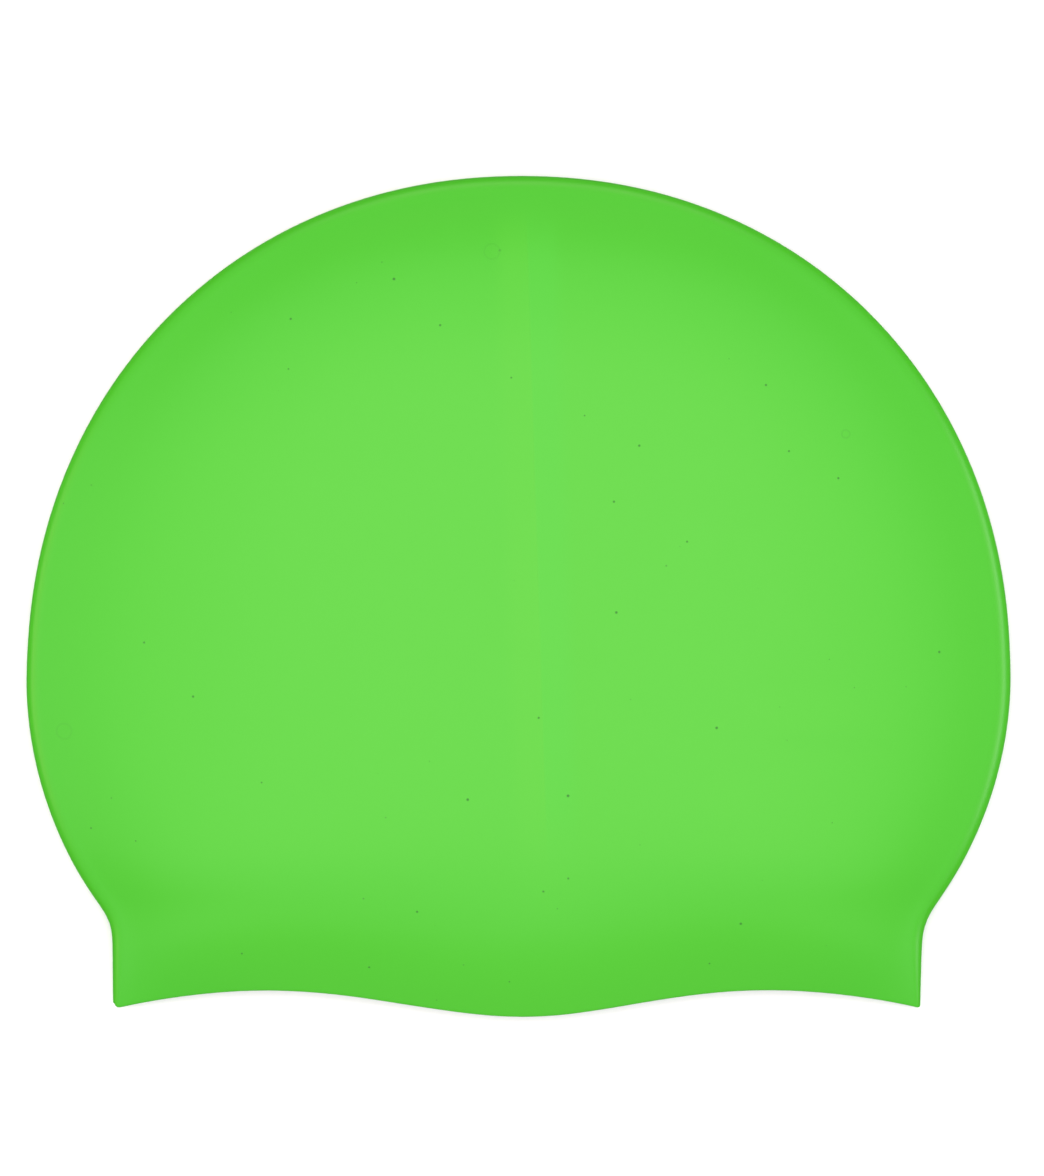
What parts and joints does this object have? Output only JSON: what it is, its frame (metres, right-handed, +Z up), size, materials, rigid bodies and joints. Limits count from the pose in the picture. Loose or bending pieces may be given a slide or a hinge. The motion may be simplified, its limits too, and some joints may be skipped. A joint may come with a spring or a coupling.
{
  "type": "silicone swim cap",
  "caption": "Flat-lying silicone swim cap with a rounded edge, a straight neck and a wavy open rim, hollow for the head.",
  "frame": {"origin": "middle of the footprint, on the surface that the cap lies on", "axes": "+Z up, +Y from the open rim to the crown, +X to the right seen from above"},
  "size_m": [0.22, 0.188, 0.0172],
  "materials": {
    "silicone": "satin green moulded silicone"
  },
  "bodies": {
    "root": {"cap": "silicone"}
  },
  "joints": []
}
